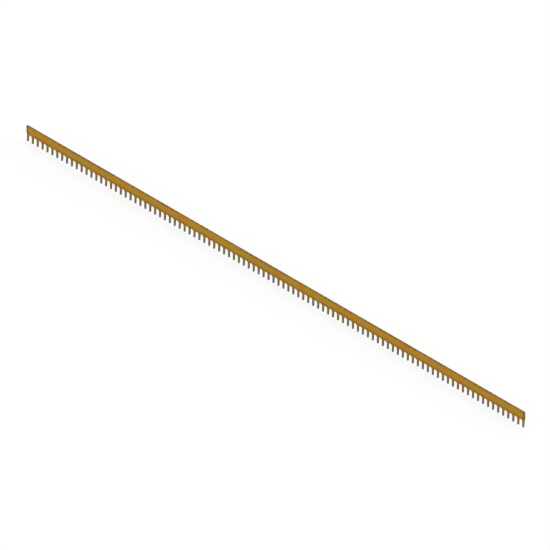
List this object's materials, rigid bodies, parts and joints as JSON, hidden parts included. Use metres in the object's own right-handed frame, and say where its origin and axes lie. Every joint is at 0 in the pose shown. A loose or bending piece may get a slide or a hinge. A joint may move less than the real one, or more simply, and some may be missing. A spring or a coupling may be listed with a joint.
{
  "type": "toothed rack",
  "caption": "Long thin comb-like rack, slender teeth along one edge, built from single tooth blanks riveted between two brass cheek strips",
  "frame": {"origin": "middle of the back edge (the top face), halfway along the rack and halfway through its thickness", "axes": "+X along the rack, +Z out of the back edge so that the teeth point to -Z, the front cheek faces -Y"},
  "size_m": [1.0042, 0.0024, 0.0268],
  "materials": {
    "cheek_brass": "satin rolled brass strip, lightly tarnished",
    "tooth_bronze": "dark oil-stained bronze, dull on the teeth",
    "rivet_brass": "flush filed rivet ends"
  },
  "bodies": {
    "root": {"front_cheek": "cheek_brass", "rear_cheek": "cheek_brass", "end_blank_left": "tooth_bronze", "tooth_blanks_01": "tooth_bronze", "tooth_blanks_02": "tooth_bronze", "tooth_blanks_03": "tooth_bronze", "tooth_blanks_04": "tooth_bronze", "tooth_blanks_05": "tooth_bronze", "tooth_blanks_06": "tooth_bronze", "tooth_blanks_07": "tooth_bronze", "tooth_blanks_08": "tooth_bronze", "tooth_blanks_09": "tooth_bronze", "tooth_blanks_10": "tooth_bronze", "tooth_blanks_11": "tooth_bronze", "tooth_blanks_12": "tooth_bronze", "tooth_blanks_13": "tooth_bronze", "tooth_blanks_14": "tooth_bronze", "tooth_blanks_15": "tooth_bronze", "tooth_blanks_16": "tooth_bronze", "tooth_blanks_17": "tooth_bronze", "tooth_blanks_18": "tooth_bronze", "tooth_blanks_19": "tooth_bronze", "tooth_blanks_20": "tooth_bronze", "tooth_blanks_21": "tooth_bronze", "tooth_blanks_22": "tooth_bronze", "tooth_blanks_23": "tooth_bronze", "tooth_blanks_24": "tooth_bronze", "tooth_blanks_25": "tooth_bronze", "tooth_blanks_26": "tooth_bronze", "tooth_blanks_27": "tooth_bronze", "tooth_blanks_28": "tooth_bronze", "tooth_blanks_29": "tooth_bronze", "tooth_blanks_30": "tooth_bronze", "tooth_blanks_31": "tooth_bronze", "tooth_blanks_32": "tooth_bronze", "tooth_blanks_33": "tooth_bronze", "end_blank_right": "tooth_bronze", "cheek_rivets": "rivet_brass"}
  },
  "joints": []
}
